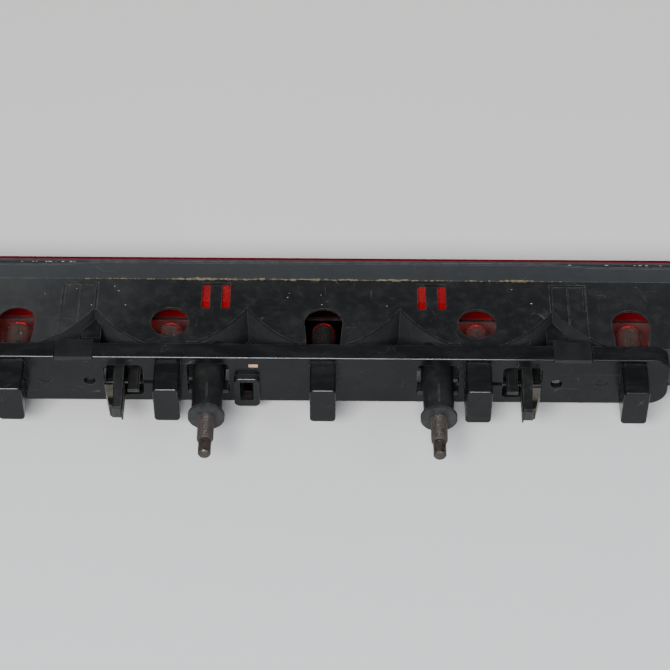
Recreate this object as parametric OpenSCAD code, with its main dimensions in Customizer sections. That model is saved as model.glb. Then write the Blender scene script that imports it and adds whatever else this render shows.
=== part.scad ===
// Third brake light of a car: red lens, black housing with two fixing studs,
// metallised reflector and a clip-on bulb carrier with five wedge-base bulbs.
// X runs along the lamp, +Z is up and the lens looks towards +Y. The origin is
// midway between the two studs, on the plane where their washers seat.

/* [Bulbs] */
// Distance between neighbouring bulbs
bulb_pitch = 56; // [55.5:0.5:57]
// Outer diameter of a bulb's glass
bulb_d = 9.6; // [9:0.1:9.8]
// Length of a bulb from its wedge base to its tip
bulb_len = 26.8; // [26:0.1:27]

/* [Bulb carrier] */
// Length of the carrier
carrier_len = 250.6; // [246:0.2:252]
// Height of the carrier
carrier_h = 24; // [23.6:0.1:24.4]
// Depth of the carrier's tray, with its rim
carrier_d = 6.7; // [6:0.1:6.8]
// Corner radius of the carrier
carrier_r = 7; // [5:0.5:9]
// Width of a socket box
socket_w = 9.3; // [9:0.1:10]
// Height of a socket box
socket_h = 17.2; // [15:0.1:17.6]
// How far a socket box stands out behind the carrier
socket_out = 13.7; // [12:0.1:15]

/* [Housing] */
// Height of the light chamber outside
body_h = 20; // [19.8:0.1:20.2]
// Length of the light chamber outside
body_len = 282; // [280:0.5:284]
// Wall thickness of the chamber
wall = 1.6; // [1.5:0.1:1.8]
// Diameter of the round windows above the bulbs
window_d = 14; // [12.5:0.1:15]
// Length of the flange
flange_len = 306; // [302:0.5:308]
// Height of the flange
flange_h = 37.6; // [36:0.2:38]

/* [Fixing studs] */
// Distance between the studs
stud_pitch = 83.2; // [82:0.1:84]
// Outer diameter of the stud's thread
stud_d = 6; // [5.8:0.1:6]
// How far the threaded stretch stands out of the washers
stud_out = 10.7; // [9:0.1:14]
// Diameter of the sealing washers
washer_d = 13.2; // [11.8:0.1:13.6]
// Thickness of the sealing washers
washer_t = 1.4; // [1:0.1:2]

/* [Lens] */
// Height of the lens rim
lens_h = 38; // [38:0.1:39]
// Depth of the lens in front of its rim
lens_d = 8.5; // [8:0.1:9]

/* [Hidden] */
$fn = 64;
eps = 0.1;
bulbs = [-2, -1, 0, 1, 2];
bulb_z = 1.5;

// Planes along Y, counted from the washers' seat
carrier_y = 18;
plate_t = 2.2;
rim_t = 1.6;
plate_in = carrier_y + plate_t;
tray_end = carrier_y + carrier_d;
body_y = 25.2;
flange_y = 58.2;
flange_t = 0.8;
rim_y = flange_y + 2 * flange_t;
lens_rim_t = 1;
lens_y = rim_y + lens_rim_t;
bulb_tip = 43;
window_y = 37;
window_lip = 0.9;

// Light chamber: each side of a bowl is a round wall, and gaps lie between the bowls
in_z = body_h / 2 - wall;
gap_x = [-1.5 * bulb_pitch, -0.5 * bulb_pitch, 0.5 * bulb_pitch, 1.5 * bulb_pitch];
bowl_wall_r = 49.3;
bowl_wall_at = [bulb_pitch / 2 + 13.5, 70.7];

// Reflector: a parabola around each bulb
focal = 9;
bowl_y = 29.6;
sheet_t = 0.9;
bowl_half = bulb_pitch / 2;
bowl_steps = 14;

// Openings in the carrier and what passes through them
post_x = stud_pitch / 2;
post_r = 5.65;
post_hole = [15.2, 16, 1.5];
post_hole_z = 0.5;
prong = [72.1, 75.6];
prong_h = 5.8;
prong_y = 2.4;
clip_hole = [14.3, 16.4, 2];
clip_hole_at = [72.25, -0.6];
latch_x = 89.8;
latch_w = 13.6;
latch_neck = [81.6, 88.6];
latch_root_y = 34.5;
latch_z = [2, 3.6];
notch_gap = 0.3;

// Snap tongues that hold the lens, and stiff panels outlined by shallow grooves
tongue = [39.7, 4.3, 3.1];
panel = [89.8, 11.4, 0.7];
tongue_y = [43.8, 55.3];
panel_y = 26;
groove_z = 8.9;
panel_z = 9.5;
drain_y = 31.5;

// Electrical parts
strip_t = 0.6;
strip_top = [8.9, 10.1];
strip_low = [-10.3, -9.1];
leaf_x = 2.7;
leaf_t = 0.4;
leaf_z = [0, 3];
blade_w = 2.8;
blade_t = 0.6;
blade_z = [-0.1, -7.5];
plug_x = -27.6;
plug_box = [9.3, 15.2, 2];
plug_z = -4.6;
plug_out = 2.5;
plug_hole = [5, 10.2];
plug_hole_z = -3.8;
tab = [-26.9, -23.5, 6.6, 8.3];

// ---- shared shapes ----

// A box between two corners
module span(x, y, z) {
    translate([x[0], y[0], z[0]]) cube([x[1] - x[0], y[1] - y[0], z[1] - z[0]]);
}

// Half of a plate's section: one far corner is rounded by e
module half_slab(r, d, e) {
    square([r - e, d]);
    translate([0, e]) square([r, d - e]);
    translate([r - e, e]) circle(e, $fn = 32);
}

// A plate's whole section
module slab(w, d, e) {
    half_slab(w / 2, d, e);
    mirror([1, 0]) half_slab(w / 2, d, e);
}

// A rounded plate that faces -Y, with its outer edge there rounded by e
module soft_plate(w, h, d, r, e) {
    rotate([0, 90, 0]) linear_extrude(w - 2 * r, center = true) slab(h, d, e);
    linear_extrude(h - 2 * r, center = true) slab(w, d, e);
    for (x = [-1, 1], z = [-1, 1])
        translate([x * (w / 2 - r), 0, z * (h / 2 - r)])
            rotate([-90, 0, 0]) rotate_extrude() half_slab(r, d, e);
}

// A rounded plate with square edges, from y = 0 to d
module plain_plate(w, h, d, r) {
    translate([-w / 2, 0, r - h / 2]) cube([w, d, h - 2 * r]);
    translate([r - w / 2, 0, -h / 2]) cube([w - 2 * r, d, h]);
    for (x = [-1, 1], z = [-1, 1])
        translate([x * (w / 2 - r), 0, z * (h / 2 - r)]) along_y(0, d, r);
}

// A round bar or cone along Y
module along_y(from, to, r, r_end = undef) {
    translate([0, from, 0]) rotate([-90, 0, 0])
        cylinder(h = to - from, r1 = r, r2 = is_undef(r_end) ? r : r_end);
}

// ---- housing ----

// The gap between two bowls, in plan, with its walls moved out by grow
module gap_2d(grow) {
    difference() {
        translate([-24, 20]) square([48, 28]);
        for (s = [-1, 1])
            translate([s * bowl_wall_at[0], bowl_wall_at[1]])
                circle(bowl_wall_r - grow, $fn = 128);
    }
}

// The chamber's plan: straight walls, less the gaps
module chamber_2d(inset, front) {
    half = body_len / 2 - inset;
    difference() {
        translate([-half, body_y + inset]) square([2 * half, front - body_y - inset]);
        for (x = gap_x) translate([x, 0]) gap_2d(inset);
    }
}

function drop(x) = let (t = min(1, max(0, (abs(x) - 76) / 28))) 1.7 * t * t * (3 - 2 * t);

// The flange's rear layer is lower towards both ends
module flange_outline() {
    steps = [for (i = [-19:19]) i * flange_len / 38];
    polygon(concat(
        [for (x = steps) [x, flange_h / 2 - drop(x)]],
        [for (x = steps) [-x, drop(x) - flange_h / 2]]
    ));
}

module flange() {
    translate([0, flange_y + flange_t, 0])
        plain_plate(flange_len, flange_h, flange_t, 7.7);
    intersection() {
        translate([0, flange_y, 0])
            plain_plate(flange_len - 1, flange_h - 0.4, flange_t + 0.01, 7.2);
        translate([0, flange_y + 2, 0]) rotate([90, 0, 0])
            linear_extrude(3) flange_outline();
    }
}

// A fixing post with a short flat step on each side
module post() {
    translate([post_x, 0, 0]) {
        along_y(washer_t, 44, post_r - 0.2, post_r + 0.3);
        span([-7.2, 7.2], [17, 21.5], [-6.4, -4.7]);
        span([-0.25, 0.25], [4, 12], [0, post_r]);
    }
}

// The prong that carries the spring clip, and the ledge beside it
module prong_and_ledge() {
    span(prong, [prong_y, 44], [-prong_h / 2, prong_h / 2]);
    span([prong[0] + 0.5, prong[1] - 0.5], [prong_y - 0.6, prong_y], [-2.2, 2.2]);
    span([66.8, 71], [16.5, 44], [-5.6, -4]);
    span([67.6, 70.2], [15.8, 40], [-4.6, -3.2]);
}

// Cuts in the top wall, down to bottom, on three sides of a tongue or panel
module tongue_cut(x, w, slot, bottom) {
    outer = w / 2 + slot;
    for (s = [-1, 1])
        translate([x + s * (w + slot) / 2, 0, 0])
            span([-slot / 2, slot / 2], tongue_y, [bottom, 11]);
    span([x - outer, x + outer], [tongue_y[1] - 0.01, tongue_y[1] + 1.1], [bottom, 11]);
}

// The hollow on each side of a panel's middle rib
module panel_hollows() {
    for (s = [-1, 1])
        translate([panel[0] + s * 3.5, 0, 0])
            span([-3.2, 3.2], [panel_y, tongue_y[1] + 1.1], [panel_z, 11]);
}

// Windows in the top wall: round ones, and keyholes that run back to the carrier.
// The wall is thinner round each window.
module windows() {
    r = window_d / 2;
    key = [[-r + 0.1, window_y - 0.5], [-6, body_y + 1], [6, body_y + 1], [r - 0.1, window_y - 0.5]];
    for (i = bulbs)
        translate([i * bulb_pitch, 0, 0]) {
            translate([0, window_y, 7]) {
                cylinder(h = 5, r = r);
                cylinder(h = body_h / 2 - window_lip - 7, r = r + 2);
            }
            if (i % 2 == 0)
                translate([0, 0, 7]) linear_extrude(5) polygon(key);
        }
}

// The bottom plate closes the gaps, but for small drain holes beside each post and clip
module bottom_plate() {
    z = [-body_h / 2, -in_z];
    span([-body_len / 2, body_len / 2], [drain_y, flange_y + eps], z);
    for (s = [0, 1]) mirror([s, 0, 0]) {
        span([post_x - 5.6, post_x + 5.6], [body_y, drain_y + 1], z);
        span([66, 79.9], [body_y, drain_y + 1], z);
    }
}

module housing() color([0.07, 0.075, 0.08]) difference() {
    union() {
        difference() {
            translate([0, 0, -body_h / 2])
                linear_extrude(body_h) chamber_2d(0, flange_y + eps);
            for (s = [-1, 1])
                translate([s * post_x, 0, 0])
                    span([-7.8, 7.8], [body_y - 1, 27.5], [-11, 11]);
        }
        bottom_plate();
        flange();
        for (s = [0, 1]) mirror([s, 0, 0]) {
            post();
            prong_and_ledge();
            span(latch_neck, [latch_root_y, 44], latch_z);
        }
    }
    translate([0, 0, -in_z]) linear_extrude(2 * in_z) chamber_2d(wall, rim_y + 1);
    for (i = bulbs)
        translate([i * bulb_pitch, 0, bulb_z]) along_y(body_y - 1, body_y + 3, 6.2);
    windows();
    for (s = [-1, 1]) {
        tongue_cut(s * tongue[0], tongue[1], tongue[2], 7);
        tongue_cut(s * panel[0], panel[1], panel[2], groove_z);
        translate([s * post_x, 0, 0]) stud_shape();
    }
    for (s = [0, 1]) mirror([s, 0, 0]) panel_hollows();
    seal_ring();
}

// The latch arm lies in the carrier's notch and bends at its root
module latch_arm() {
    inner = latch_x - latch_w / 2;
    outer = latch_x + latch_w / 2;
    span([inner, outer], [carrier_y + 0.05, 26.6], [10.3, 11.9]);
    span([inner, outer], [25, 26.6], [latch_z[0], 11.9]);
    span([inner, outer], [26.5, 28.5], latch_z);
    span(latch_neck, [28.4, latch_root_y], latch_z);
    span([88, 88.8], [26.5, 28], [3.5, 11.2]);
}

// ---- reflector and lens ----

function bowl_at(h) = bowl_y + h * h / (4 * focal);

// Points of the five parabolas, from left to right, moved along Y by shift
function bowl_line(shift) = [
    for (i = bulbs, k = [(i == -2 ? 0 : 1) : bowl_steps])
        let (h = bowl_half * (2 * k / bowl_steps - 1))
        let (edge = body_len / 2 - wall - 0.1)
        [min(edge, max(-edge, i * bulb_pitch + h)), bowl_at(h) + shift]
];

function reversed(list) = [for (i = [len(list) - 1 : -1 : 0]) list[i]];

module reflector() color([0.82, 0.83, 0.85]) {
    edge = body_len / 2 - wall - 0.1;
    front = 53.7;
    difference() {
        translate([0, 0, -in_z + 0.05]) linear_extrude(2 * in_z - 0.15)
            polygon(concat(bowl_line(0), reversed(bowl_line(-sheet_t))));
        for (i = bulbs) {
            translate([i * bulb_pitch, 0, bulb_z]) along_y(20, 45, 5.8);
            if (i % 2 == 0)
                translate([i * bulb_pitch, 0, 0]) span([-6.2, 6.2], [27, 32.5], [bulb_z, 9]);
        }
    }
    translate([0, 0, -in_z + 0.05]) linear_extrude(0.8)
        polygon(concat(bowl_line(-sheet_t / 2), [[edge, front], [-edge, front]]));
}

// A bar along X whose radius swells in shallow flutes
module fluted_bar(half, r) {
    flutes = 48;
    per = 4;
    rotate([0, 90, 0]) rotate_extrude($fn = 128) polygon(concat(
        [[0, half], [0, -half]],
        [for (k = [0 : flutes * per])
            [r + 0.5 * abs(sin(180 * k / per)), half * (2 * k / (flutes * per) - 1)]]
    ));
}

// A domed lens on a flat rim, with flutes inside the dome
module lens() color([0.7, 0.02, 0.05, 0.7]) {
    dome_h = 35.4;
    step = 0.55;
    rise = lens_d - step;
    crown = (pow(dome_h / 2, 2) + rise * rise) / (2 * rise);
    centre = lens_y + lens_d - crown;
    difference() {
        union() {
            translate([0, rim_y, 0]) plain_plate(flange_len + 1, lens_h, lens_rim_t, 8);
            intersection() {
                translate([0, lens_y + lens_d, 0])
                    mirror([0, 1, 0]) soft_plate(296, dome_h, lens_d + eps, 6, 3);
                translate([-200, centre, 0]) rotate([0, 90, 0])
                    cylinder(h = 400, r = crown, $fn = 256);
            }
        }
        intersection() {
            translate([0, centre, 0]) fluted_bar(145.2, crown - 2.8);
            span([-150, 150], [lens_y, lens_y + lens_d], [-15.5, 15.5]);
        }
        span([-139.4, 139.4], [rim_y - eps, lens_y + eps], [-in_z + 0.1, in_z - 0.2]);
    }
    for (s = [-1, 1]) lens_tab(s * tongue[0], 10.8, 43);
    skirt = body_len / 2 - wall - 0.6;
    span([-skirt, skirt], [55.4, lens_y], [-in_z + 0.05, -in_z + 1.2]);
}

// A tab of the lens that reaches in under a tongue of the housing
module lens_tab(x, w, back) {
    span([x - w / 2, x + w / 2], [back, lens_y], [6.9, 8.3]);
}

module seal_ring() difference() {
    translate([0, rim_y - 0.6, 0]) plain_plate(300, 30, 0.6, 6);
    translate([0, rim_y - 1, 0]) plain_plate(295, 25, 2, 4);
}

module lens_seal() color([0.2, 0.2, 0.2]) seal_ring();

// ---- studs, washers and spring clips ----

// A threaded stud with a dog point, a run-out ring and a head moulded into the post
module stud_shape() {
    along_y(-stud_out - 6.2, -stud_out - 5.7, stud_d * 0.33, stud_d * 0.39);
    along_y(-stud_out - 5.7, -stud_out - 0.9, stud_d * 0.39);
    along_y(-stud_out - 0.95, -stud_out, stud_d * 0.4, stud_d / 2);
    along_y(-stud_out, 12, stud_d / 2);
    along_y(-0.4, 0, stud_d / 2 + 0.2);
    along_y(11, 14, 4.2);
}

module stud() color([0.35, 0.25, 0.2]) stud_shape();

module seal_washer() color([0.2, 0.2, 0.21]) difference() {
    along_y(0, washer_t, washer_d / 2);
    along_y(-1, 3, stud_d / 2);
}

// Steel saddle: a blade on the inner side of the prong and a plate under it
module clip_saddle() color([0.3, 0.3, 0.3]) {
    bottom = -prong_h / 2;
    span([prong[0] - 0.6, prong[0]], [1.6, 14.5], [bottom - 0.5, 2.4]);
    span([prong[0] - 0.1, prong[1]], [2.6, 14.5], [bottom - 0.5, bottom]);
}

// Steel leaf: it flares away from the prong, with a flap folded over its top
module clip_leaf() color([0.6, 0.57, 0.5]) {
    tip = [prong[1] + 0.05, 2.8];
    back = [78.4, 12.2];
    translate([0, 0, -prong_h / 2]) linear_extrude(prong_h + 0.6)
        polygon([tip, tip + [0.55, 0], back + [0.1, 0], back - [0.45, 0]]);
    translate([0, 0, prong_h / 2 + 0.1]) linear_extrude(0.5)
        polygon([[74.9, 2.8], tip + [0.55, 0], back + [0.1, 0], [75.5, 12.2]]);
}

// ---- bulb carrier ----

module socket_box() {
    translate([0, carrier_y - socket_out, bulb_z])
        soft_plate(socket_w, socket_h, socket_out + 1, 1.5, 0.5);
    span([-4.4, 4.4], [plate_in - 1, plate_in + 1.5], [bulb_z - 6.4, bulb_z + 6.4]);
}

module socket_cavity() {
    span([-3.2, 3.2], [carrier_y - socket_out + 1.5, tray_end + 1],
         [bulb_z - 5.2, bulb_z + 5.2]);
    span([leaf_x - 0.2, 3.4], [plate_in, plate_in + 1.5], [bulb_z, bulb_z + 7]);
    span([-3.4, 0.2 - leaf_x], [plate_in, plate_in + 1.5], [bulb_z - 7, bulb_z]);
}

module plug_shell() {
    translate([plug_x, carrier_y - plug_out, plug_z])
        soft_plate(plug_box[0], plug_box[1], plug_out + 1, plug_box[2], 0.5);
    span([plug_x - 3.6, plug_x + 3.6], [plate_in - 1, 25], [-9, 3]);
}

module plug_cavity() {
    half = [plug_hole[0] / 2, plug_hole[1] / 2];
    span([plug_x - half[0], plug_x + half[0]], [10, 24.2],
         [plug_hole_z - half[1], plug_hole_z + half[1]]);
    span([plug_x - 1.5, plug_x + 1.5], [23.3, 24.1], [-9.5, 3.5]);
    span([tab[0] - 0.1, tab[1] + 0.1], [carrier_y - 1, plate_in + 1],
         [tab[2] - 0.1, tab[3] + 0.1]);
}

module bulb_carrier() color([0.1, 0.105, 0.11]) difference() {
    union() {
        difference() {
            translate([0, carrier_y, 0])
                soft_plate(carrier_len, carrier_h, carrier_d, carrier_r, 0.6);
            translate([0, plate_in, 0])
                plain_plate(carrier_len - 2 * rim_t, carrier_h - 2 * rim_t,
                            carrier_d, carrier_r - rim_t);
        }
        for (i = bulbs) translate([i * bulb_pitch, 0, 0]) socket_box();
        plug_shell();
    }
    for (i = bulbs) translate([i * bulb_pitch, 0, 0]) socket_cavity();
    plug_cavity();
    for (s = [-1, 1]) {
        translate([s * post_x, carrier_y - 1, post_hole_z])
            plain_plate(post_hole[0], post_hole[1], plate_t + 2, post_hole[2]);
        translate([s * clip_hole_at[0], carrier_y - 1, clip_hole_at[1]])
            plain_plate(clip_hole[0], clip_hole[1], plate_t + 2, clip_hole[2]);
        translate([s * 63.4, carrier_y - 1, -1.4]) span([-2, 2], [0, plate_t + 2], [-1, 1]);
        translate([s * latch_x, 0, 0])
            span([-latch_w / 2 - notch_gap, latch_w / 2 + notch_gap],
                 [carrier_y - 1, tray_end + 1], [10.2, carrier_h]);
        translate([s * 84.6, 0, -1.1]) along_y(carrier_y - 1, plate_in + 1, 2.15);
        translate([s * 100.7, 0, 0]) along_y(carrier_y - 1, carrier_y + 0.3, 2.6);
        translate([s * carrier_len / 2, 0, 0])
            span([-0.9, 0.9], [carrier_y - 1, plate_in + 1], [-1.6, 0.4]);
    }
}

// ---- contact strips ----

// One leaf contact beside the bulb's wedge base, with its link to the strip
module leaf(side, strip) {
    link = side > 0 ? [leaf_z[1] - 0.1, strip[0] + 0.1] : [strip[1] - 0.1, leaf_z[0] + 0.1];
    at = side > 0 ? [leaf_x, leaf_x + leaf_t] : [-leaf_x - leaf_t, -leaf_x];
    span(at, [8, 22.6], leaf_z);
    span(at, [plate_in, plate_in + 1.2], link);
}

// The plug blade and its link to the strip
module blade(z, strip) {
    up = z > -3;
    end = up ? strip[1] - 0.2 : strip[0] + 0.2;
    x = [plug_x - blade_w / 2, plug_x + blade_w / 2];
    span(x, [18.8, 24], [z - blade_t / 2, z + blade_t / 2]);
    span(x, [23.4, 24], up ? [z, end] : [end, z]);
    span(x, [plate_in, 24], up ? [end - blade_t, end] : [end, end + blade_t]);
}

module busbar(side, strip, z) {
    half = 2 * bulb_pitch + 4;
    span([-half, half], [plate_in, plate_in + strip_t], strip);
    for (i = bulbs) translate([i * bulb_pitch, 0, 0]) leaf(side, strip);
    blade(z, strip);
}

module busbar_positive() color([0.75, 0.5, 0.3]) {
    busbar(1, strip_top, blade_z[0]);
    span([tab[0], tab[1]], [plate_in, plate_in + strip_t], [tab[2], strip_top[0] + 0.1]);
    span([tab[0], tab[1]], [carrier_y + 0.2, plate_in + strip_t], [tab[2], tab[3]]);
}

module busbar_ground() color([0.75, 0.6, 0.35]) busbar(-1, strip_low, blade_z[1]);

// ---- bulbs ----

bulb_r = bulb_d / 2;
glass_t = 0.8;
base_y = bulb_tip - bulb_len;
dome_y = bulb_tip - bulb_r;
neck_y = 27.2;
hollow_y = 29.5;

module ball(y, r) {
    translate([0, y, 0]) sphere(r);
}

module bulb_glass(i) color([0.9, 0.92, 0.95, 0.4])
    translate([(i - 3) * bulb_pitch, 0, bulb_z]) difference() {
        union() {
            along_y(neck_y, dome_y, bulb_r);
            ball(dome_y, bulb_r);
            ball(neck_y, bulb_r);
            span([-2.3, 2.3], [base_y, 26], [-4.6, 4.6]);
        }
        along_y(hollow_y, dome_y, bulb_r - glass_t);
        ball(dome_y, bulb_r - glass_t);
        ball(hollow_y, bulb_r - glass_t);
    }

// Filament, its two support wires and the leads folded up over the wedge base
module bulb_filament(i) color([0.55, 0.55, 0.55])
    translate([(i - 3) * bulb_pitch, 0, bulb_z]) {
        wire = 0.2;
        coil_y = 38.2;
        for (s = [-1, 1]) {
            translate([0, 0, s * 2.6]) along_y(base_y - 0.3, coil_y, wire);
            mirror([s < 0 ? 1 : 0, 0, 0]) {
                span([-wire, 2.6], [base_y - 0.5, base_y], s > 0 ? [-0.5, 2.85] : [-2.85, 0.5]);
                span([2.3, 2.6], [base_y - 0.5, 21], [-0.5, 0.5]);
            }
        }
        translate([0, coil_y, -3]) cylinder(h = 6, r = 0.28);
    }

// ---- nodes ----

module side_of(s) {
    mirror([s, 0, 0]) children();
}

housing();
reflector();
lens();
lens_seal();
color([0.09, 0.09, 0.1]) side_of(1) latch_arm();  // latch_arm_left
color([0.09, 0.09, 0.1]) side_of(0) latch_arm();  // latch_arm_right
translate([-post_x, 0, 0]) stud();  // stud_left
translate([post_x, 0, 0]) stud();  // stud_right
translate([-post_x, 0, 0]) seal_washer();  // seal_washer_left
translate([post_x, 0, 0]) seal_washer();  // seal_washer_right
side_of(1) clip_saddle();  // clip_saddle_left
side_of(0) clip_saddle();  // clip_saddle_right
side_of(1) clip_leaf();  // clip_leaf_left
side_of(0) clip_leaf();  // clip_leaf_right
bulb_carrier();
busbar_positive();
busbar_ground();
for (i = [1:5]) {
    bulb_glass(i);
    bulb_filament(i);
}
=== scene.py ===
"""Looks of a third brake light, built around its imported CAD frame.

Lengths are in metres in the CAD frame: X runs along the lamp, +Y points out through
the lens and +Z is up. Materials take their grain sizes in metres as well.
"""

import math
import random

import bmesh
import bpy
from mathutils import Matrix, Vector


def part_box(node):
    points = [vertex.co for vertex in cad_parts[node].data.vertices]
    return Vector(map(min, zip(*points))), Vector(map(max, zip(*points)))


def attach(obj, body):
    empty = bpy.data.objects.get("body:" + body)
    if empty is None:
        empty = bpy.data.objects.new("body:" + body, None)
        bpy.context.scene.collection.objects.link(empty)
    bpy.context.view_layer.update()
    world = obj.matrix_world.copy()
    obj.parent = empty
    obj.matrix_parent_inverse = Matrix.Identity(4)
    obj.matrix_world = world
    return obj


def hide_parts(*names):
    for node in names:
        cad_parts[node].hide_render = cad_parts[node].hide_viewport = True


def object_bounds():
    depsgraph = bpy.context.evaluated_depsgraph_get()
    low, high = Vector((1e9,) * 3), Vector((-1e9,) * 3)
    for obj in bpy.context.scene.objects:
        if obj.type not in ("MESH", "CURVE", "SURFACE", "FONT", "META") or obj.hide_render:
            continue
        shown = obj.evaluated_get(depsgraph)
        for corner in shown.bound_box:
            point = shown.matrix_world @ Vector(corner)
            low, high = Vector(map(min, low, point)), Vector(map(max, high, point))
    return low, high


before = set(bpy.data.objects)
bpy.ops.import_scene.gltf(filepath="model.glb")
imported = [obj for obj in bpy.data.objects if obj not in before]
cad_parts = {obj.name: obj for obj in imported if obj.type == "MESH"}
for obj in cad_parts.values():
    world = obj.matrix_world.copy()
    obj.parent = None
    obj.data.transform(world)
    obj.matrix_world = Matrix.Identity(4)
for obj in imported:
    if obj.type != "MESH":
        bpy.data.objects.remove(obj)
cad_low, cad_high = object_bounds()

MM = 0.001
SIDES = ("left", "right")
BULBS = range(1, 6)

# Planes of the housing that materials and small pieces follow
CHAMBER_TOP = 10 * MM
CHAMBER_BACK = 25.2 * MM
GAP_DEPTH = 45 * MM
FLANGE_BACK = 58.2 * MM
FLANGE_STEP = 59.0 * MM


# ---- camera, light and floor ----

def make_camera():
    """The camera stands behind and above the lamp, a little turned and rolled."""
    pitch, turn, roll = (math.radians(a) for a in (48.47, 0.094, 0.345))
    data = bpy.data.cameras.new("camera")
    data.sensor_width = 36
    data.lens = 128.5
    data.clip_end = 20
    camera = bpy.data.objects.new("camera", data)
    camera.matrix_world = Matrix.Translation((0.00517, -0.5442, 0.65955)) @ (
        Matrix.Rotation(turn, 4, "Z")
        @ Matrix.Rotation(math.pi / 2 - pitch, 4, "X")
        @ Matrix.Rotation(roll, 4, "Z")
    )
    bpy.context.scene.collection.objects.link(camera)
    bpy.context.scene.camera = camera


def area_light(name, place, target, size, power, colour):
    data = bpy.data.lights.new(name, "AREA")
    data.shape = "RECTANGLE"
    data.size, data.size_y = size
    data.energy = power
    data.color = colour
    light = bpy.data.objects.new(name, data)
    light.location = place
    light.rotation_euler = (Vector(target) - Vector(place)).to_track_quat("-Z", "Y").to_euler()
    bpy.context.scene.collection.objects.link(light)


def make_light():
    """A soft key and side light, one low behind the lens, and a room darker towards +Y."""
    world = bpy.data.worlds.new("studio")
    world.use_nodes = True
    tree = world.node_tree
    background = tree.nodes["Background"]
    direction = tree.nodes.new("ShaderNodeSeparateXYZ")
    tree.links.new(tree.nodes.new("ShaderNodeTexCoord").outputs["Generated"], direction.inputs[0])
    room = tree.nodes.new("ShaderNodeMapRange")
    room.interpolation_type = "SMOOTHSTEP"
    bright_from, dark_from, bright, dark = -0.3, 0.45, 0.42, 0.05
    for socket, value in zip(room.inputs, (0, bright_from, dark_from, bright, dark)):
        socket.default_value = value
    tree.links.new(direction.outputs["Y"], room.inputs[0])
    tree.links.new(room.outputs[0], background.inputs["Strength"])
    background.inputs["Color"].default_value = (0.86, 0.92, 1.0, 1)
    bpy.context.scene.world = world
    area_light("key", (-0.4, -1.5, 1.6), (0, 0.05, 0), (1.2, 0.5), 74, (1, 0.99, 0.97))
    area_light("side", (1.5, -0.7, 1.3), (0, 0.05, 0), (0.9, 0.9), 9, (0.9, 0.95, 1))
    area_light("low", (0.1, 1.4, 0.16), (0, 0.06, 0), (1.3, 0.2), 20, (1, 1, 1))


# ---- materials ----

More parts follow.
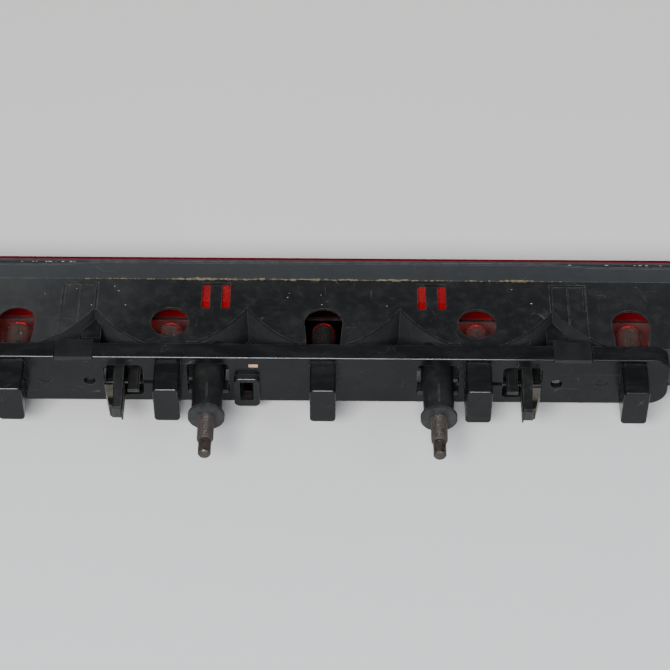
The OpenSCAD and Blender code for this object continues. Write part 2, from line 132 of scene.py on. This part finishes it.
class Paint:
    """A procedural material: a Principled shader and the nodes that feed it."""

    def __init__(self, name, constants):
        self.material = bpy.data.materials.new(name)
        self.material.use_nodes = True
        self.tree = self.material.node_tree
        self.shader = self.tree.nodes["Principled BSDF"]
        for socket, value in constants.items():
            self.shader.inputs[socket].default_value = value
        coordinates = self.add("TexCoord")
        self.place = coordinates.outputs["Object"]
        self.normal = coordinates.outputs["Normal"]

    def add(self, kind, **settings):
        node = self.tree.nodes.new("ShaderNode" + kind)
        for key, value in settings.items():
            setattr(node, key, value)
        return node

    def feed(self, socket, value):
        if isinstance(value, bpy.types.NodeSocket):
            self.tree.links.new(value, socket)
        else:
            socket.default_value = value

    def math(self, operation, a, b=0.0, clamp=False):
        node = self.add("Math", operation=operation, use_clamp=clamp)
        self.feed(node.inputs[0], a)
        self.feed(node.inputs[1], b)
        return node.outputs[0]

    def times(self, *factors):
        product = factors[0]
        for factor in factors[1:]:
            product = self.math("MULTIPLY", product, factor)
        return product

    def noise(self, size, detail=4.0, stretch=(1, 1, 1), turn=(0, 0, 0), rough=0.55):
        """Noise from 0 to 1 whose blobs are about size across, longer where stretch is above 1."""
        mapping = self.add("Mapping", vector_type="TEXTURE")
        self.feed(mapping.inputs["Vector"], self.place)
        mapping.inputs["Scale"].default_value = [s * size for s in stretch]
        mapping.inputs["Rotation"].default_value = turn
        texture = self.add("TexNoise")
        self.feed(texture.inputs["Vector"], mapping.outputs[0])
        texture.inputs["Scale"].default_value = 1.0
        texture.inputs["Detail"].default_value = detail
        texture.inputs["Roughness"].default_value = rough
        return texture.outputs["Fac"]

    def level(self, value, low, high, bottom=0.0, top=1.0):
        """Bottom where value is at low, top where it is at high, smooth between."""
        node = self.add("MapRange", interpolation_type="SMOOTHSTEP")
        for socket, item in zip(node.inputs, (value, low, high, bottom, top)):
            self.feed(socket, item)
        return node.outputs[0]

    def blend(self, factor, a, b):
        node = self.add("Mix", data_type="RGBA")
        self.feed(node.inputs["Factor"], factor)
        for socket, colour in ((node.inputs[6], a), (node.inputs[7], b)):
            self.feed(socket, colour if isinstance(colour, bpy.types.NodeSocket) else (*colour, 1))
        return node.outputs[2]

    def axis(self, vector, name):
        node = self.add("SeparateXYZ")
        self.feed(node.inputs[0], vector)
        return node.outputs[name]

    def facing(self, way, start, full):
        """1 on surfaces that face along way, 0 where they are turned from it."""
        dot = self.add("VectorMath", operation="DOT_PRODUCT")
        self.feed(dot.inputs[0], self.normal)
        self.feed(dot.inputs[1], way)
        return self.level(dot.outputs["Value"], start, full)

    def middle(self, full, top=1.0):
        """Top within full of the middle bulb along X, fading to 0 at 26 mm from it."""
        off = self.math("ABSOLUTE", self.axis(self.place, "X"))
        return self.level(off, 26 * MM, full, 0, top)

    def upward(self):
        """1 on surfaces that face up, 0 on upright and lower ones."""
        return self.level(self.axis(self.normal, "Z"), 0.35, 0.95)

    def edges(self, radius):
        """1 on sharp edges and corners, fading over radius."""
        bevel = self.add("Bevel", samples=4)
        bevel.inputs["Radius"].default_value = radius
        dot = self.add("VectorMath", operation="DOT_PRODUCT")
        self.feed(dot.inputs[0], bevel.outputs[0])
        self.feed(dot.inputs[1], self.add("NewGeometry").outputs["Normal"])
        return self.level(dot.outputs["Value"], 0.995, 0.86)

    def hairlines(self, size, stretch, turn, width):
        """Thin broken scratches that follow the contours of a stretched noise."""
        contour = self.math("SUBTRACT", self.noise(size, 1.0, stretch, turn), 0.5)
        line = self.level(self.math("ABSOLUTE", contour), width, 0.0)
        return self.times(line, self.level(self.noise(size * 0.9, 2.0), 0.56, 0.66))

    def relief(self, layers):
        """Bumps from (height, depth) pairs, laid one over the other."""
        normal = None
        for height, depth in layers:
            bump = self.add("Bump")
            bump.inputs["Strength"].default_value = 1.0
            bump.inputs["Distance"].default_value = depth
            self.feed(bump.inputs["Height"], height)
            if normal is not None:
                self.feed(bump.inputs["Normal"], normal)
            normal = bump.outputs["Normal"]
        self.feed(self.shader.inputs["Normal"], normal)

    def finish(self, colour, roughness):
        self.feed(self.shader.inputs["Base Color"], colour)
        self.feed(self.shader.inputs["Roughness"], roughness)
        return self.material


def housing_plastic():
    """Satin black moulding, greyer and rougher on its flange. Painted light greys it towards both
    ends, lightens the upright walls in its gaps and darkens what faces up there.
    """
    p = Paint("housing_plastic", {"Specular IOR Level": 0.45})
    across, along, height = (p.axis(p.place, name) for name in "XYZ")
    patches = p.noise(28 * MM, 4)
    dirt = p.noise(5 * MM, 7, rough=0.65)
    grain = p.noise(0.35 * MM, 2)

    # Painted light: the wall is painted lighter towards both ends, most at the left, mixed with
    # random patches of tone.
    left_end = p.level(across, -55 * MM, -125 * MM, 0, 0.8)
    right_end = p.level(across, 55 * MM, 120 * MM, 0, 0.18)
    painted_end_light = p.math("ADD", left_end, right_end)
    toned = p.math("ADD", painted_end_light, p.level(patches, 0.45, 0.75, 0, 0.25), clamp=True)
    wall = p.blend(toned, (0.0085, 0.0088, 0.0096), (0.040, 0.041, 0.042))

    # Painted light and shade in the gaps: upright walls painted lighter, surfaces facing up
    # painted darker.
    in_gap = p.times(
        p.level(height, CHAMBER_TOP - 0.65 * MM, CHAMBER_TOP - 1.2 * MM),
        p.level(height, -CHAMBER_TOP + 0.2 * MM, -CHAMBER_TOP + 0.7 * MM),
        p.level(along, GAP_DEPTH + 1 * MM, GAP_DEPTH - 1 * MM, 0, 0.9),
        p.level(along, CHAMBER_BACK - 0.2 * MM, CHAMBER_BACK + 0.4 * MM),
    )
    gap_light_and_shade = p.blend(p.upward(), (0.030, 0.0315, 0.035), (0.005, 0.0052, 0.0056))
    wall = p.blend(in_gap, wall, gap_light_and_shade)

    # The flange is greyer, bluer and rougher than the wall.
    on_flange = p.level(along, FLANGE_BACK - 0.3 * MM, FLANGE_BACK + 0.1 * MM)
    flange = p.blend(patches, (0.029, 0.034, 0.040), (0.041, 0.044, 0.048))
    past_step = p.level(along, FLANGE_STEP - 0.2 * MM, FLANGE_STEP - 0.05 * MM)
    step = p.times(p.facing((0, -1, 0), 0.5, 0.9), past_step)
    flange = p.blend(step, flange, (0.016, 0.0175, 0.021))
    plain = p.blend(on_flange, wall, flange)

    dust = p.times(p.upward(), p.level(dirt, 0.45, 0.75, 0, 0.14))
    specks = p.times(p.level(p.noise(0.9 * MM, 2), 0.66, 0.74), p.level(dirt, 0.4, 0.6, 0, 0.5))
    dusty = p.blend(p.math("MAXIMUM", dust, specks), plain, (0.06, 0.059, 0.056))
    scratches = p.math(
        "MAXIMUM",
        p.hairlines(14 * MM, (1, 3.2, 1), (0, 0, 0.5), 0.004),
        p.hairlines(9 * MM, (2.6, 1, 1), (0, 0, 0.3), 0.005),
    )
    marked = p.blend(p.times(scratches, 0.3), dusty, (0.16, 0.16, 0.155))
    # Sharp edges painted lighter: partly wear, partly painted highlight.
    edge = p.times(p.edges(0.35 * MM), p.level(p.noise(3 * MM, 4), 0.35, 0.6, 0.15, 0.6))
    colour = p.blend(edge, marked, (0.15, 0.15, 0.145))
    p.relief([(grain, 0.02 * MM), (dirt, 0.05 * MM), (scratches, -0.02 * MM)])
    satin = p.level(dirt, 0.3, 0.75, 0.38, 0.62)
    return p.finish(colour, p.math("ADD", satin, p.times(on_flange, 0.12)))


def carrier_plastic():
    """Gloss black moulding: fine scratches, dust on top, and a painted highlight along its rounded
    rear top edge.
    """
    p = Paint("carrier_plastic", {"Specular IOR Level": 0.23})
    patches = p.noise(20 * MM, 4)
    smears = p.noise(6 * MM, 5, (2.5, 1, 1), rough=0.6)
    scratches = p.math(
        "MAXIMUM",
        p.hairlines(12 * MM, (3.5, 1, 1), (0, 0.2, 0.1), 0.004),
        p.hairlines(7 * MM, (1, 1, 2.4), (0.3, 0, 0), 0.005),
    )
    plain = p.blend(p.level(patches, 0.35, 0.7), (0.003, 0.0034, 0.0042), (0.006, 0.0068, 0.008))
    dust = p.times(p.upward(), p.level(smears, 0.35, 0.8, 0.06, 0.2))
    dusty = p.blend(dust, plain, (0.07, 0.07, 0.068))
    marked = p.blend(p.times(scratches, 0.3), dusty, (0.13, 0.13, 0.13))
    edge = p.times(p.edges(0.25 * MM), p.level(smears, 0.4, 0.65, 0.05, 0.3))
    # Painted highlight along the rounded rear top edge, broken by patches and fading towards +X.
    painted_edge_highlight = p.times(
        p.facing((0, -0.7, 0.71), 0.95, 0.995),
        p.level(patches, 0.3, 0.6, 0.25, 0.8),
        p.level(p.axis(p.place, "X"), 85 * MM, 45 * MM, 0.15, 1),
    )
    colour = p.blend(p.math("MAXIMUM", edge, painted_edge_highlight), marked, (0.24, 0.26, 0.28))
    p.relief([(p.noise(0.8 * MM, 2), 0.012 * MM), (patches, 0.25 * MM), (scratches, -0.015 * MM)])
    return p.finish(colour, p.level(smears, 0.3, 0.75, 0.16, 0.36))


def latch_plastic():
    """Black with a spark-eroded matte grain, painted darkest at the root as shade in the gap."""
    p = Paint("latch_plastic", {"Specular IOR Level": 0.4})
    grain = p.noise(0.5 * MM, 3)
    smears = p.noise(5 * MM, 5)
    plain = p.blend(p.level(smears, 0.3, 0.7), (0.006, 0.0065, 0.007), (0.012, 0.0125, 0.013))
    # Painted shade: darker where the root sits in the gap.
    root = p.level(p.axis(p.place, "Y"), 26.9 * MM, 28 * MM, 0, 0.7)
    plain = p.blend(root, plain, (0.002, 0.002, 0.0022))
    edge = p.times(p.edges(0.25 * MM), 0.2)
    p.relief([(grain, 0.06 * MM)])
    return p.finish(p.blend(edge, plain, (0.12, 0.12, 0.118)), p.level(grain, 0.3, 0.7, 0.5, 0.68))


def red_lens():
    """Clear red plastic with flow lines and scuffs; painted shade darkens its rim and its skirt,
    the skirt nearly black round the middle bulb.
    """
    p = Paint("red_lens", {"Transmission Weight": 0.6, "IOR": 1.49, "Specular IOR Level": 0.5})
    height = p.axis(p.place, "Z")
    flow = p.noise(12 * MM, 3, (4, 1, 1))
    scuffs = p.hairlines(16 * MM, (4, 1, 1), (0, 0.15, 0), 0.004)
    clean = p.blend(p.level(flow, 0.3, 0.7), (0.50, 0.009, 0.018), (0.62, 0.014, 0.024))
    # Painted shade: the rim is darker red.
    at_rim = p.level(p.math("ABSOLUTE", height), 17.6 * MM, 18.6 * MM)
    shaded_rim = p.blend(at_rim, clean, (0.21, 0.008, 0.02))
    # Painted shade: the skirt is darker red, nearly black round the middle bulb.
    on_skirt = p.times(
        p.level(height, -6.9 * MM, -7.1 * MM),
        p.level(p.axis(p.place, "Y"), 60.6 * MM, 60.2 * MM),
    )
    darker_skirt = p.blend(p.middle(14 * MM), (0.34, 0.012, 0.02), (0.02, 0.003, 0.004))
    colour = p.blend(on_skirt, shaded_rim, darker_skirt)
    p.relief([(flow, 0.08 * MM), (scuffs, -0.02 * MM)])
    polish = p.level(flow, 0.3, 0.75, 0.03, 0.09)
    return p.finish(colour, p.math("ADD", polish, p.times(scuffs, 0.3)))


def metallised():
    """Vacuum-coated mirror, slightly hazed, and dark round the middle bulb."""
    p = Paint("metallised", {"Metallic": 1.0})
    haze = p.noise(9 * MM, 6)
    speckle = p.noise(0.7 * MM, 3)
    silver = p.blend(p.level(haze, 0.35, 0.75), (0.86, 0.87, 0.88), (0.74, 0.74, 0.74))
    colour = p.blend(p.middle(12 * MM), silver, (0.035, 0.03, 0.028))
    p.relief([(p.noise(4 * MM, 2), 0.05 * MM), (speckle, 0.008 * MM)])
    return p.finish(colour, p.level(haze, 0.3, 0.75, 0.36, 0.5))


def rubber(name, dark, light):
    """Dull filled rubber with a powdery bloom."""
    p = Paint(name, {"Specular IOR Level": 0.3})
    bloom = p.noise(2.5 * MM, 6)
    grain = p.noise(0.3 * MM, 3)
    p.relief([(grain, 0.04 * MM), (bloom, 0.06 * MM)])
    colour = p.blend(p.level(bloom, 0.35, 0.7), dark, light)
    return p.finish(colour, p.level(bloom, 0.3, 0.7, 0.62, 0.85))


def rusty_steel():
    """Plain steel under brown rust, bare where a nut has rubbed the crests."""
    p = Paint("rusty_steel", {})
    rust = p.noise(2.2 * MM, 7, rough=0.68)
    pits = p.noise(0.4 * MM, 4)
    bare = p.times(p.edges(0.2 * MM), p.level(rust, 0.62, 0.4))
    brown = p.blend(p.level(pits, 0.35, 0.7), (0.024, 0.017, 0.014), (0.056, 0.037, 0.028))
    steel = p.blend(p.level(pits, 0.3, 0.7), (0.045, 0.042, 0.04), (0.095, 0.09, 0.086))
    cover = p.math("SUBTRACT", p.level(rust, 0.38, 0.58), bare, clamp=True)
    p.feed(p.shader.inputs["Metallic"], p.math("SUBTRACT", 0.9, p.times(cover, 0.8)))
    p.relief([(rust, 0.10 * MM), (pits, 0.05 * MM)])
    return p.finish(p.blend(cover, steel, brown), p.level(cover, 0, 1, 0.34, 0.72))


def spring_steel():
    """Pale tarnished spring steel with a brushed grain and a dirty tip."""
    p = Paint("spring_steel", {"Metallic": 0.75})
    brushed = p.noise(1.2 * MM, 5, (1, 1, 6))
    tarnish = p.noise(3 * MM, 6)
    colour = p.blend(p.level(tarnish, 0.35, 0.7), (0.27, 0.25, 0.21), (0.14, 0.125, 0.10))
    edge = p.times(p.edges(0.15 * MM), 0.6)
    tip = p.level(p.axis(p.place, "Y"), 7.5 * MM, 5.5 * MM)
    p.relief([(brushed, 0.02 * MM), (tarnish, 0.03 * MM)])
    toned = p.blend(edge, colour, (0.42, 0.4, 0.35))
    dirty = p.blend(tip, toned, (0.03, 0.027, 0.024))
    return p.finish(dirty, p.level(tarnish, 0.3, 0.7, 0.32, 0.55))


def blackened_steel():
    """Spring steel under a worn black phosphate coat."""
    p = Paint("blackened_steel", {"Metallic": 0.4})
    toned = p.noise(1.5 * MM, 6)
    coat = p.blend(p.level(toned, 0.35, 0.7), (0.012, 0.012, 0.013), (0.03, 0.029, 0.028))
    edge = p.times(p.edges(0.12 * MM), 0.25)
    p.relief([(toned, 0.03 * MM)])
    return p.finish(p.blend(edge, coat, (0.2, 0.19, 0.17)), p.level(toned, 0.3, 0.7, 0.4, 0.62))


def contact_metal():
    """Stamped copper alloy, darkened in patches, with painted shade low down in the socket."""
    p = Paint("contact_metal", {"Metallic": 1.0})
    tarnish = p.noise(2.5 * MM, 6)
    clean = p.blend(p.level(tarnish, 0.35, 0.75), (0.85, 0.55, 0.36), (0.45, 0.25, 0.15))
    # Painted shade: the metal is dark low down, inside the socket.
    socket_shade = p.level(p.axis(p.place, "Z"), 4.5 * MM, 3 * MM)
    colour = p.blend(socket_shade, clean, (0.09, 0.06, 0.045))
    p.relief([(p.noise(0.6 * MM, 4, (5, 1, 1)), 0.015 * MM)])
    return p.finish(colour, p.level(tarnish, 0.3, 0.7, 0.22, 0.42))


def bulb_glass():
    """Clear blown glass under a thin grey-brown film, darker on the middle bulb."""
    p = Paint("bulb_glass", {"Transmission Weight": 0.972, "IOR": 1.47})
    ripple = p.noise(3.5 * MM, 2)
    film = p.noise(2 * MM, 4)
    used = p.blend(p.level(film, 0.45, 0.8), (0.80, 0.75, 0.71), (0.66, 0.60, 0.56))
    colour = p.blend(p.middle(14 * MM, 0.8), used, (0.3, 0.26, 0.24))
    p.relief([(ripple, 0.06 * MM)])
    return p.finish(colour, p.level(film, 0.5, 0.9, 0.02, 0.08))


def wire_metal():
    """Bare nickel and tungsten wire, dull grey from heat."""
    p = Paint("wire_metal", {"Metallic": 1.0})
    heat = p.noise(1.5 * MM, 4)
    colour = p.blend(p.level(heat, 0.3, 0.7), (0.22, 0.21, 0.2), (0.1, 0.095, 0.1))
    p.relief([(p.noise(0.2 * MM, 2), 0.01 * MM)])
    return p.finish(colour, p.level(heat, 0.3, 0.7, 0.4, 0.6))


def old_adhesive():
    """Dried yellow-brown sealant with dirt in it."""
    p = Paint("old_adhesive", {"Specular IOR Level": 0.3})
    lumps = p.noise(1.2 * MM, 6)
    dirt = p.noise(6 * MM, 4)
    clean = p.blend(p.level(lumps, 0.3, 0.7), (0.085, 0.073, 0.042), (0.17, 0.155, 0.105))
    colour = p.blend(p.level(dirt, 0.45, 0.65), clean, (0.09, 0.08, 0.06))
    p.relief([(lumps, 0.15 * MM)])
    return p.finish(colour, p.level(lumps, 0.3, 0.7, 0.7, 0.95))


def pale_chips():
    """Dusty flakes of pale plastic and lime."""
    p = Paint("pale_chips", {"Specular IOR Level": 0.4})
    tone = p.noise(8 * MM, 3)
    fleck = p.noise(0.3 * MM, 3)
    colour = p.blend(p.level(tone, 0.35, 0.6), (0.3, 0.29, 0.27), (0.27, 0.2, 0.19))
    p.relief([(fleck, 0.03 * MM)])
    return p.finish(colour, p.level(fleck, 0.3, 0.7, 0.5, 0.8))


def pale_floor():
    """Plain matte table with a painted light falloff: a little darker and warmer behind the lamp.
    """
    p = Paint("pale_floor", {"Specular IOR Level": 0.25})
    fine = p.noise(0.004, 4)
    wander = p.times(p.noise(0.18, 3), 0.1)
    # Painted light falloff: darker and warmer towards +Y.
    painted_falloff = p.level(p.math("ADD", p.axis(p.place, "Y"), wander), -0.05, 0.3)
    colour = p.blend(painted_falloff, (0.77, 0.785, 0.80), (0.68, 0.665, 0.655))
    p.relief([(fine, 0.05 * MM)])
    return p.finish(colour, p.level(fine, 0.3, 0.7, 0.55, 0.65))


# ---- pieces that the CAD model doesn't carry ----

def new_piece(name, mesh, material, body):
    """A piece of the lamp that rides on a body of the frame."""
    piece = bpy.data.objects.new(name, mesh)
    bpy.context.scene.collection.objects.link(piece)
    piece.data.materials.append(material)
    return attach(piece, body)


def threaded_stud(side, material):
    """A stud with a real helical thread, its dog point and its moulded-in head."""
    name = "stud_" + side
    low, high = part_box(name)
    centre_x, tip = (low.x + high.x) / 2, low.y
    outer, pitch, depth = 3 * MM, 1 * MM, 0.55 * MM
    start, thread_end = tip + 6.2 * MM, 0.5 * MM
    dog_point = [(0, 0.0), (0, 1.95), (0.5, 2.3), (5.2, 2.34), (5.3, 2.4)]
    rings = [(tip + y * MM, r * MM) for y, r in dog_point]
    steps = round((thread_end - start) / (0.1 * MM))
    rings += [(start + (thread_end - start) * k / steps, None) for k in range(steps + 1)]
    shank_and_head = [(0.55, 3), (11, 3), (11, 4.2), (14, 4.2), (14, 0)]
    rings += [(y * MM, r * MM) for y, r in shank_and_head]

    def thread_radius(y, turn):
        phase = (y / pitch - turn) % 1
        groove = min(1.0, max(0.0, (abs(2 * phase - 1) - 0.12) / 0.76))
        lead_in = outer - 0.74 * MM + (y - start) * 0.9
        return min(outer - depth * groove, lead_in)

    around = 40
    points = []
    for y, plain_radius in rings:
        for k in range(around):
            radius = thread_radius(y, k / around) if plain_radius is None else plain_radius
            angle = math.tau * k / around
            points.append((centre_x + radius * math.cos(angle), y, radius * math.sin(angle)))
    faces = []
    for j in range(len(rings) - 1):
        here, beyond = j * around, (j + 1) * around
        for k in range(around):
            after = (k + 1) % around
            faces.append((here + k, beyond + k, beyond + after, here + after))
    mesh = bpy.data.meshes.new("threaded_" + name)
    mesh.from_pydata(points, [], faces)
    cleaner = bmesh.new()
    cleaner.from_mesh(mesh)
    bmesh.ops.remove_doubles(cleaner, verts=cleaner.verts, dist=0.001 * MM)
    bmesh.ops.recalc_face_normals(cleaner, faces=cleaner.faces)
    cleaner.to_mesh(mesh)
    cleaner.free()
    piece = new_piece("threaded_" + name, mesh, material, "root")
    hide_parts(name)


def crumbs(name, lumps, material):
    """One mesh of rough lumps. Each lump is its place and its three half sizes."""
    shape = bmesh.new()
    for place, half in lumps:
        made = bmesh.ops.create_icosphere(shape, subdivisions=2, radius=1)
        swell = [random.uniform(0.7, 1.25) for _ in range(3)]
        for vert in made["verts"]:
            x, y, z = vert.co
            dent = 1 + 0.22 * math.sin(7 * x + 9 * y * swell[0] + 5 * z * swell[1] + 6 * swell[2])
            vert.co = Vector(place) + Vector(c * h * dent for c, h in zip(vert.co, half))
    for face in shape.faces:
        face.smooth = True
    mesh = bpy.data.meshes.new(name)
    shape.to_mesh(mesh)
    shape.free()
    return new_piece(name, mesh, material, "root")


def flange_residue(material):
    """Old adhesive in the corner between the chamber and the flange, thick in places."""
    for name, up, count, seed in (("adhesive_top", 1, 420, 3), ("adhesive_bottom", -1, 150, 4)):
        random.seed(seed)
        lumps = []
        for _ in range(count):
            x = random.uniform(-88, 88) * MM
            thick = 0.35 + 0.65 * max(0.0, math.sin(x * 210 + 2.2) * math.sin(x * 57 + 0.7))
            if -48 * MM < x < 12 * MM:
                thick += 0.35
            if random.random() > thick:
                continue
            size = random.uniform(0.12, 0.42) * (0.6 + thick) * MM
            rise = random.uniform(0, 0.6) * thick * MM
            place = (x, FLANGE_BACK - size * 0.45, up * (CHAMBER_TOP + rise + size * 0.3))
            half = (size * random.uniform(1.1, 2.6), size * 0.7, size * random.uniform(0.6, 1))
            lumps.append((place, half))
        crumbs(name, lumps, material)


def rim_flash(material):
    """Pale chips of moulding flash along the flange's rear edge."""
    random.seed(11)
    flange_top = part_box("housing")[1].z
    lumps = []
    for _ in range(26):
        x = random.choice((-1, 1)) * random.uniform(66, 124) * MM
        size = random.uniform(0.1, 0.26) * MM
        place = (x, FLANGE_STEP + random.uniform(-0.1, 0.1) * MM, flange_top - 0.55 * MM)
        lumps.append((place, (size * random.uniform(1.5, 5), size, size * 0.8)))
    crumbs("rim_flash", lumps, material)


def grit(material):
    """Specks of dirt that lie on the chamber's top wall."""
    random.seed(21)
    lumps = []
    for _ in range(18):
        x, y = random.uniform(-136, 136) * MM, random.uniform(44.5, 57) * MM
        place = (x, y, CHAMBER_TOP + 0.05 * MM)
        size = random.uniform(0.06, 0.22) * MM
        lumps.append((place, (size * random.uniform(1, 2), size, size * 0.6)))
    crumbs("grit", lumps, material)


def filament_coil(i, material):
    """A fine coil wound round the bulb's filament rod."""
    low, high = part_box(f"bulb_filament_{i}")
    rod_y, winding_r, reach = high.y - 0.28 * MM, 0.36 * MM, 2.45 * MM
    bulb_axis_z = 1.5 * MM
    centre = Vector(((low.x + high.x) / 2, rod_y, bulb_axis_z))
    turns, per = 22, 12
    curve = bpy.data.curves.new(f"filament_coil_{i}", "CURVE")
    curve.dimensions = "3D"
    curve.bevel_depth = 0.07 * MM
    curve.bevel_resolution = 1
    spline = curve.splines.new("POLY")
    spline.points.add(turns * per)
    for k, point in enumerate(spline.points):
        angle = math.tau * k / per
        along = reach * (2 * k / (turns * per) - 1)
        offset = Vector((winding_r * math.cos(angle), winding_r * math.sin(angle), along))
        point.co = (*(centre + offset), 1)
    coil = bpy.data.objects.new(f"filament_coil_{i}", curve)
    bpy.context.scene.collection.objects.link(coil)
    curve.materials.append(material)
    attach(coil, f"bulb_{i}")


def make_floor(material):
    """The table, level at the lamp's lowest point."""
    mesh = bpy.data.meshes.new("floor")
    half, height = 6, cad_low.z
    corners = [(x * half, y * half, height) for x, y in ((-1, -1), (1, -1), (1, 1), (-1, 1))]
    mesh.from_pydata(corners, [], [(0, 1, 2, 3)])
    mesh.materials.append(material)
    floor = bpy.data.objects.new("floor", mesh)
    bpy.context.scene.collection.objects.link(floor)


make_camera()
make_light()
make_floor(pale_floor())

looks = {
    "housing": housing_plastic(),
    "reflector": metallised(),
    "lens": red_lens(),
    "lens_seal": rubber("dull_seal", (0.02, 0.02, 0.021), (0.05, 0.05, 0.05)),
    "bulb_carrier": carrier_plastic(),
}
leaf = spring_steel()
saddle = blackened_steel()
arm = latch_plastic()
washer = rubber("washer_rubber", (0.018, 0.019, 0.020), (0.036, 0.0375, 0.039))
stud = rusty_steel()
for side in SIDES:
    looks["latch_arm_" + side] = arm
    looks["stud_" + side] = stud
    looks["seal_washer_" + side] = washer
    looks["clip_saddle_" + side] = saddle
    looks["clip_leaf_" + side] = leaf
strip = contact_metal()
glass = bulb_glass()
wire = wire_metal()
looks["busbar_positive"] = strip
looks["busbar_ground"] = strip
for i in BULBS:
    looks[f"bulb_glass_{i}"] = glass
    looks[f"bulb_filament_{i}"] = wire
for node, material in looks.items():
    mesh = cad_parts[node].data
    mesh.materials.clear()
    mesh.materials.append(material)

flange_residue(old_adhesive())
chips = pale_chips()
rim_flash(chips)
grit(chips)
for side in SIDES:
    threaded_stud(side, stud)
for i in BULBS:
    filament_coil(i, wire)
